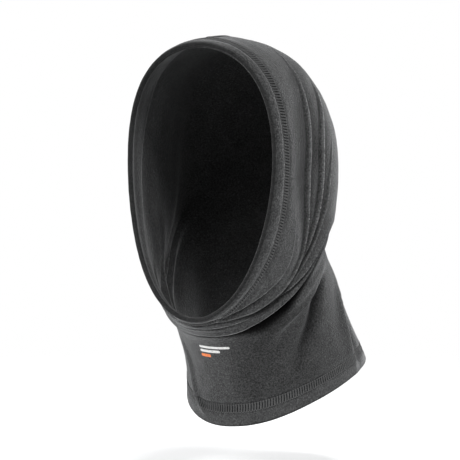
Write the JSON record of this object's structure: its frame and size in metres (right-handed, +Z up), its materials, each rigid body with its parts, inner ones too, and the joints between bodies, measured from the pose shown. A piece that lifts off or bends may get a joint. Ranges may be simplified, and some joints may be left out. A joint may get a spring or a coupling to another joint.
{
  "type": "balaclava",
  "caption": "Tubular fleece balaclava worn as a hood, with an open face, a gathered throat, a flared neck and coverstitched hems.",
  "frame": {"origin": "middle of the head that wears it, at the height of the ears' tops", "axes": "+Z up along the head, -Y the way the face looks, +X the wearer's left"},
  "size_m": [0.158, 0.214, 0.3241],
  "materials": {
    "fleece": "brushed charcoal knit fleece",
    "thread": "charcoal sewing thread",
    "label": "blank satin label cloth",
    "print_pale": "matte transfer film",
    "print_orange": "matte transfer film"
  },
  "bodies": {
    "root": {"fleece_tube": "fleece", "neck_hem_turn_up": "fleece", "face_hem_turn_up": "fleece", "neck_hem_needle_thread_lower": "thread", "neck_hem_needle_thread_upper": "thread", "neck_hem_looper_thread": "thread", "face_hem_needle_thread_lower": "thread", "face_hem_needle_thread_upper": "thread", "face_hem_looper_thread": "thread", "join_seam_needle_thread_left": "thread", "join_seam_needle_thread_right": "thread", "join_seam_looper_thread": "thread", "care_label": "label", "print_film_pale": "print_pale", "print_film_orange": "print_orange"}
  },
  "joints": []
}
